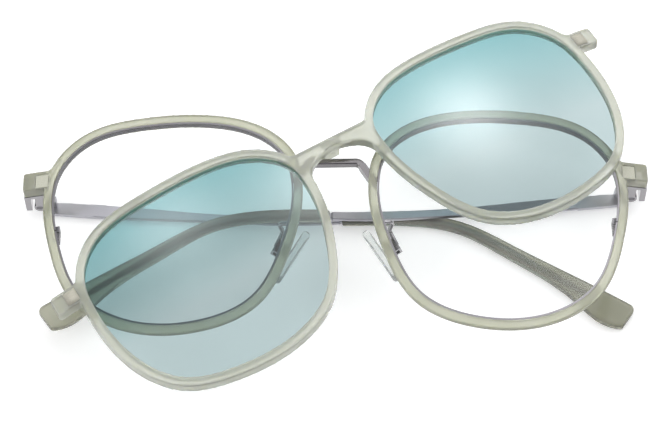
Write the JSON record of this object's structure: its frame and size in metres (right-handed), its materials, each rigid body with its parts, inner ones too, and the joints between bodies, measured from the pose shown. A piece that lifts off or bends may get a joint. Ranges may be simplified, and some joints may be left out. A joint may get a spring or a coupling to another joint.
{
  "type": "glasses with magnetic clip-on front",
  "caption": "Combination glasses lying on folded temples: rimmed front with clear lenses, hinged temples and nose pads, and a tinted clip-on front held by magnets, turned out of its seat.",
  "frame": {"origin": "middle of the plan, on the plane that the folded temples lie on", "axes": "+X along the front towards the right rim in the picture, +Y towards the top of the frame, +Z out of the front"},
  "size_m": [0.1404, 0.0932, 0.0228],
  "materials": {
    "olive_plastic": "translucent olive, polished",
    "clip_plastic": "translucent pale olive, polished",
    "sleeve_plastic": "translucent olive, polished",
    "magnet": "cream coated",
    "band_metal": "knurled",
    "screw_steel": "polished",
    "frame_metal": "polished silver",
    "clear_lens": "clear",
    "tinted_lens": "teal gradient",
    "silicone": "clear silicone"
  },
  "bodies": {
    "front": {"rim_left": "olive_plastic", "rim_right": "olive_plastic", "magnet_left": "magnet", "magnet_right": "magnet", "eyewire_left": "band_metal", "eyewire_right": "band_metal", "rim_screw_left": "screw_steel", "rim_screw_right": "screw_steel", "lens_left": "clear_lens", "lens_right": "clear_lens", "pad_arm_left": "frame_metal", "pad_arm_right": "frame_metal", "pad_screw_left": "screw_steel", "pad_screw_right": "screw_steel", "endpiece_left": "frame_metal", "endpiece_right": "frame_metal", "hinge_screw_left": "screw_steel", "hinge_screw_right": "screw_steel", "bridge": "frame_metal"},
    "temple_left": {"temple_left": "frame_metal", "temple_tip_left": "sleeve_plastic"},
    "temple_right": {"temple_right": "frame_metal", "temple_tip_right": "sleeve_plastic"},
    "clip": {"clip_frame": "clip_plastic", "clip_lens_left": "tinted_lens", "clip_lens_right": "tinted_lens", "clip_magnet_left": "magnet", "clip_magnet_right": "magnet"},
    "nose_pad_left": {"pad_left": "silicone"},
    "nose_pad_right": {"pad_right": "silicone"}
  },
  "joints": [
    {"name": "temple_left_fold", "type": "hinge", "parent": "front", "child": "temple_left", "pos_m": [-0.067, 0.00809, 0.0038], "axis": [0, 1, 0], "range_deg": [0, 90]},
    {"name": "temple_right_fold", "type": "hinge", "parent": "front", "child": "temple_right", "pos_m": [0.067, 0.00809, 0.0038], "axis": [0, -1, 0], "range_deg": [0, 92.3]},
    {"name": "clip_turn", "type": "hinge", "parent": "front", "child": "clip", "pos_m": [-0.0031, 0.00779, 0.0194], "axis": [-0.0103, 0, 0.9999], "range_deg": [-30.3, 15]},
    {"name": "pad_left_rock", "type": "hinge", "parent": "front", "child": "nose_pad_left", "pos_m": [-0.01227, -0.0105, 0.01072], "axis": [0.2116, -0.2051, 0.9556], "range_deg": [-6, 6]},
    {"name": "pad_right_rock", "type": "hinge", "parent": "front", "child": "nose_pad_right", "pos_m": [0.01227, -0.0105, 0.01072], "axis": [-0.2116, -0.2051, 0.9556], "range_deg": [-6, 6]}
  ]
}
